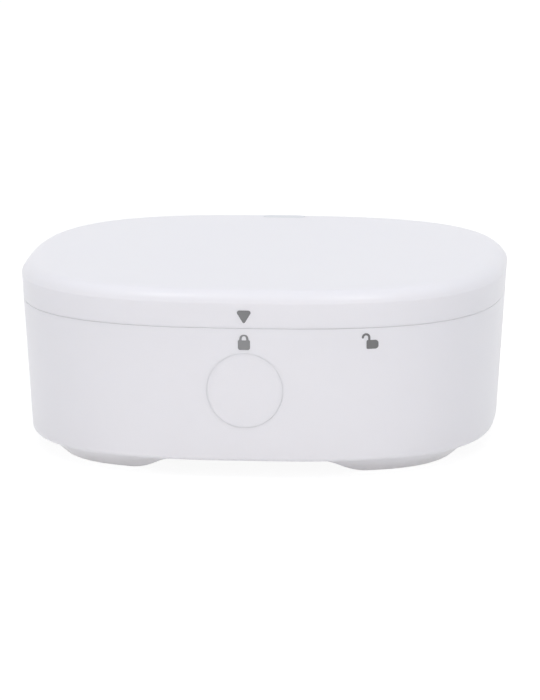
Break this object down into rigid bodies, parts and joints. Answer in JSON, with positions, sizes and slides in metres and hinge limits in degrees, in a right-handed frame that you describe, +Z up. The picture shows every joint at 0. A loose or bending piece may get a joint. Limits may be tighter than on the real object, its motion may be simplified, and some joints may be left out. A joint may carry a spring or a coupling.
{
  "type": "water leak sensor",
  "caption": "Rounded-square puck sensor with a quarter-twist lid, a flush round button in its front wall, four corner feet and metal water probes underneath.",
  "frame": {"origin": "on the surface that it stands on, under the middle of the body", "axes": "+Z up, -Y towards the front wall with the button, +X to the right seen from the front"},
  "size_m": [0.078, 0.078, 0.0299],
  "materials": {
    "shell_white": "satin moulded plastic",
    "deck_plastic": "fine matt moulded plastic",
    "light_guide": "milky clear plastic",
    "seal_rubber": "soft black rubber",
    "screw_steel": "zinc plated steel",
    "probe_metal": "bright corrosion-proof steel",
    "spring_metal": "nickel plated spring sheet",
    "board_laminate": "green solder mask",
    "chip_black": "black moulded case",
    "plunger_plastic": "plain moulded plastic",
    "lamp": "clear lamp body",
    "cell_wrap": "plain dark sleeve",
    "sounder_brass": "thin brass sheet",
    "sounder_ceramic": "fired ceramic",
    "membrane": "fine vent membrane"
  },
  "bodies": {
    "base": {"base_housing": "shell_white", "deck": "deck_plastic", "light_pipe": "light_guide", "collar_seal": "seal_rubber", "deck_gasket": "seal_rubber", "probe_seals": "seal_rubber", "deck_screws": "screw_steel", "board_screws": "screw_steel", "probe_studs": "probe_metal", "positive_contact": "spring_metal", "negative_contact": "spring_metal", "bridge_contact": "spring_metal", "probe_contacts": "spring_metal", "sounder_contacts": "spring_metal", "antenna": "spring_metal", "radio_can": "spring_metal", "clock_crystal": "spring_metal", "main_board": "board_laminate", "radio_module": "board_laminate", "microcontroller": "chip_black", "thermistor": "chip_black", "capacitor": "chip_black", "tact_switch": "chip_black", "status_led": "lamp", "battery_front": "cell_wrap", "battery_rear": "cell_wrap", "sounder_plate": "sounder_brass", "sounder_ceramic": "sounder_ceramic", "sound_membrane": "membrane"},
    "lid": {"lid_shell": "shell_white", "status_window": "light_guide"},
    "button": {"button_cap": "shell_white", "button_seal": "seal_rubber", "switch_plunger": "plunger_plastic"}
  },
  "joints": [
    {"name": "lid_turn", "type": "hinge", "parent": "base", "child": "lid", "pos_m": [0, 0, 0.024], "axis": [0, 0, 1], "range_deg": [0, 28.5]},
    {"name": "button_press", "type": "slide", "parent": "base", "child": "button", "axis": [0, 1, 0], "range_m": [0, 0.0006], "stiffness_N_per_m": 1500, "springref_m": -0.0008}
  ]
}
